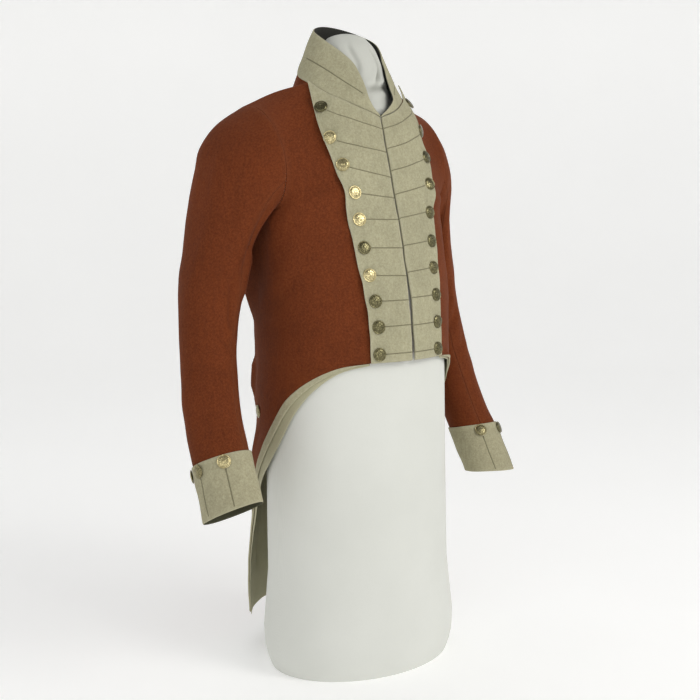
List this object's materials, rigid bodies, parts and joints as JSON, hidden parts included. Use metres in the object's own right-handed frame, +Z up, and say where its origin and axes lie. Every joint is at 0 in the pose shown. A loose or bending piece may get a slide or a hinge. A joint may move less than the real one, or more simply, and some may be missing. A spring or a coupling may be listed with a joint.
{
  "type": "uniform tailcoat on a display form",
  "caption": "Cut-away uniform tailcoat with buttoned-back lapels, standing collar, round cuffs and long narrow tails, on a limbless display form that it stands with.",
  "frame": {"origin": "bottom centre of the whole part's box, on the floor under the form", "axes": "+Z up, -Y the way the coat faces, +X towards the wearer's left"},
  "size_m": [0.61, 0.3368, 0.9845],
  "materials": {
    "red_wool": "napped broadcloth",
    "buff_wool": "napped facing cloth",
    "buff_lining": "matt worsted",
    "dark_lining": "matt",
    "form_cover": "smooth matt jersey",
    "gilt_brass": "worn gilt, toned"
  },
  "bodies": {
    "root": {"front_right": "red_wool", "back_right": "red_wool", "lapel_right": "buff_wool", "turnback_right": "buff_wool", "skirt_lining_right": "buff_lining", "top_sleeve_right": "red_wool", "under_sleeve_right": "red_wool", "cuff_right": "buff_wool", "front_left": "red_wool", "back_left": "red_wool", "lapel_left": "buff_wool", "turnback_left": "buff_wool", "skirt_lining_left": "buff_lining", "top_sleeve_left": "red_wool", "under_sleeve_left": "red_wool", "cuff_left": "buff_wool", "collar": "buff_wool", "collar_lining": "dark_lining", "display_form": "form_cover", "lapel_button_right_01": "gilt_brass", "lapel_button_right_02": "gilt_brass", "lapel_button_right_03": "gilt_brass", "lapel_button_right_04": "gilt_brass", "lapel_button_right_05": "gilt_brass", "lapel_button_right_06": "gilt_brass", "lapel_button_right_07": "gilt_brass", "lapel_button_right_08": "gilt_brass", "lapel_button_right_09": "gilt_brass", "lapel_button_right_10": "gilt_brass", "cuff_button_right_1": "gilt_brass", "cuff_button_right_2": "gilt_brass", "cuff_button_right_3": "gilt_brass", "cuff_button_right_4": "gilt_brass", "hip_button_right": "gilt_brass", "lapel_button_left_01": "gilt_brass", "lapel_button_left_02": "gilt_brass", "lapel_button_left_03": "gilt_brass", "lapel_button_left_04": "gilt_brass", "lapel_button_left_05": "gilt_brass", "lapel_button_left_06": "gilt_brass", "lapel_button_left_07": "gilt_brass", "lapel_button_left_08": "gilt_brass", "lapel_button_left_09": "gilt_brass", "lapel_button_left_10": "gilt_brass", "cuff_button_left_1": "gilt_brass", "cuff_button_left_2": "gilt_brass", "cuff_button_left_3": "gilt_brass", "cuff_button_left_4": "gilt_brass", "hip_button_left": "gilt_brass"}
  },
  "joints": []
}
